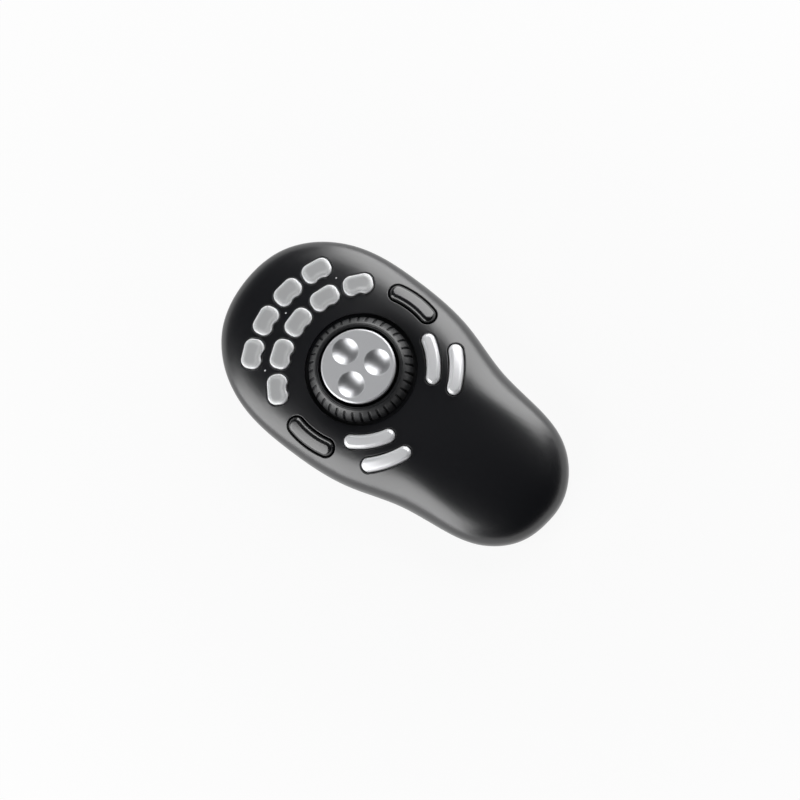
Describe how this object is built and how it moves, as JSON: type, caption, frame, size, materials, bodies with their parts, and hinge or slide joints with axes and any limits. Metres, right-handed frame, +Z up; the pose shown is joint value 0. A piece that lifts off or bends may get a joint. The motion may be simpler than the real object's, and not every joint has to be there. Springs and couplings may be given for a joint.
{
  "type": "multimedia controller",
  "caption": "Teardrop desk controller with a sprung ribbed shuttle ring, a free jog dial with finger dimples and sprung keys in arcs round the wheel.",
  "frame": {"origin": "on the table under the middle of the body's outline", "axes": "+X to the right, +Y along the body to the head with the keys, +Z up, along the wheel axis"},
  "size_m": [0.109, 0.2014, 0.038],
  "materials": {
    "satin_black": "fine satin moulding, charcoal black",
    "black_rubber": "matt",
    "zinc_steel": "zinc plated",
    "board_green": "lacquered glass fibre board",
    "dark_plastic": "moulded, unpolished",
    "white_plastic": "moulded",
    "nickel": "nickel plated",
    "silver_dial": "satin silver lacquer",
    "satin_black_wheel": "satin",
    "tread_rubber": "soft satin rubber",
    "black_key": "semi gloss",
    "silver_key": "satin silver paint on plastic",
    "silver_label": "blank silver card",
    "clear_cap": "clear moulded plastic"
  },
  "bodies": {
    "housing": {"upper_shell": "satin_black", "lower_shell": "satin_black", "rubber_feet": "black_rubber", "case_screws": "zinc_steel", "board_screws": "zinc_steel", "cable_gland": "black_rubber", "main_board": "board_green", "tact_switches": "dark_plastic", "controller_chip": "dark_plastic", "cable_header": "white_plastic", "ring_sensor": "dark_plastic", "jog_encoder": "nickel", "return_spring": "zinc_steel"},
    "shuttle": {"shuttle_carrier": "satin_black_wheel", "shuttle_tread": "tread_rubber", "shuttle_retainer": "zinc_steel", "code_disc": "dark_plastic"},
    "jog": {"jog_dial": "silver_dial", "jog_hub": "dark_plastic", "encoder_shaft": "nickel"},
    "label_key_1": {"label_key_1_base": "silver_key", "label_key_1_label": "silver_label", "label_key_1_cap": "clear_cap"},
    "label_key_2": {"label_key_2_base": "silver_key", "label_key_2_label": "silver_label", "label_key_2_cap": "clear_cap"},
    "label_key_3": {"label_key_3_base": "silver_key", "label_key_3_label": "silver_label", "label_key_3_cap": "clear_cap"},
    "label_key_4": {"label_key_4_base": "silver_key", "label_key_4_label": "silver_label", "label_key_4_cap": "clear_cap"},
    "label_key_5": {"label_key_5_base": "silver_key", "label_key_5_label": "silver_label", "label_key_5_cap": "clear_cap"},
    "label_key_6": {"label_key_6_base": "silver_key", "label_key_6_label": "silver_label", "label_key_6_cap": "clear_cap"},
    "label_key_7": {"label_key_7_base": "silver_key", "label_key_7_label": "silver_label", "label_key_7_cap": "clear_cap"},
    "label_key_8": {"label_key_8_base": "silver_key", "label_key_8_label": "silver_label", "label_key_8_cap": "clear_cap"},
    "label_key_9": {"label_key_9_base": "silver_key", "label_key_9_label": "silver_label", "label_key_9_cap": "clear_cap"},
    "black_key_1": {"black_key_1": "black_key"},
    "black_key_2": {"black_key_2": "black_key"},
    "silver_key_1": {"silver_key_1": "silver_key"},
    "silver_key_2": {"silver_key_2": "silver_key"},
    "silver_key_3": {"silver_key_3": "silver_key"},
    "silver_key_4": {"silver_key_4": "silver_key"}
  },
  "joints": [
    {"name": "jog_turn", "type": "hinge", "parent": "housing", "child": "jog", "pos_m": [0, 0.01995, 0], "axis": [0, 0, 1], "continuous": true},
    {"name": "shuttle_turn", "type": "hinge", "parent": "housing", "child": "shuttle", "pos_m": [0, 0.01995, 0], "axis": [0, 0, 1], "range_deg": [-75, 75], "stiffness_Nm_per_rad": 0.04, "deforming": ["return_spring"]},
    {"name": "label_key_1_press", "type": "slide", "parent": "housing", "child": "label_key_1", "axis": [0, 0, -1], "range_m": [0, 0.001], "stiffness_N_per_m": 800},
    {"name": "label_key_2_press", "type": "slide", "parent": "housing", "child": "label_key_2", "axis": [0, 0, -1], "range_m": [0, 0.001], "stiffness_N_per_m": 800},
    {"name": "label_key_3_press", "type": "slide", "parent": "housing", "child": "label_key_3", "axis": [0, 0, -1], "range_m": [0, 0.001], "stiffness_N_per_m": 800},
    {"name": "label_key_4_press", "type": "slide", "parent": "housing", "child": "label_key_4", "axis": [0, 0, -1], "range_m": [0, 0.001], "stiffness_N_per_m": 800},
    {"name": "label_key_5_press", "type": "slide", "parent": "housing", "child": "label_key_5", "axis": [0, 0, -1], "range_m": [0, 0.001], "stiffness_N_per_m": 800},
    {"name": "label_key_6_press", "type": "slide", "parent": "housing", "child": "label_key_6", "axis": [0, 0, -1], "range_m": [0, 0.001], "stiffness_N_per_m": 800},
    {"name": "label_key_7_press", "type": "slide", "parent": "housing", "child": "label_key_7", "axis": [0, 0, -1], "range_m": [0, 0.001], "stiffness_N_per_m": 800},
    {"name": "label_key_8_press", "type": "slide", "parent": "housing", "child": "label_key_8", "axis": [0, 0, -1], "range_m": [0, 0.001], "stiffness_N_per_m": 800},
    {"name": "label_key_9_press", "type": "slide", "parent": "housing", "child": "label_key_9", "axis": [0, 0, -1], "range_m": [0, 0.001], "stiffness_N_per_m": 800},
    {"name": "black_key_1_press", "type": "slide", "parent": "housing", "child": "black_key_1", "axis": [0, 0, -1], "range_m": [0, 0.001], "stiffness_N_per_m": 800},
    {"name": "black_key_2_press", "type": "slide", "parent": "housing", "child": "black_key_2", "axis": [0, 0, -1], "range_m": [0, 0.001], "stiffness_N_per_m": 800},
    {"name": "silver_key_1_press", "type": "slide", "parent": "housing", "child": "silver_key_1", "axis": [0, 0, -1], "range_m": [0, 0.001], "stiffness_N_per_m": 800},
    {"name": "silver_key_2_press", "type": "slide", "parent": "housing", "child": "silver_key_2", "axis": [0, 0, -1], "range_m": [0, 0.001], "stiffness_N_per_m": 800},
    {"name": "silver_key_3_press", "type": "slide", "parent": "housing", "child": "silver_key_3", "axis": [0, 0, -1], "range_m": [0, 0.001], "stiffness_N_per_m": 800},
    {"name": "silver_key_4_press", "type": "slide", "parent": "housing", "child": "silver_key_4", "axis": [0, 0, -1], "range_m": [0, 0.001], "stiffness_N_per_m": 800}
  ]
}
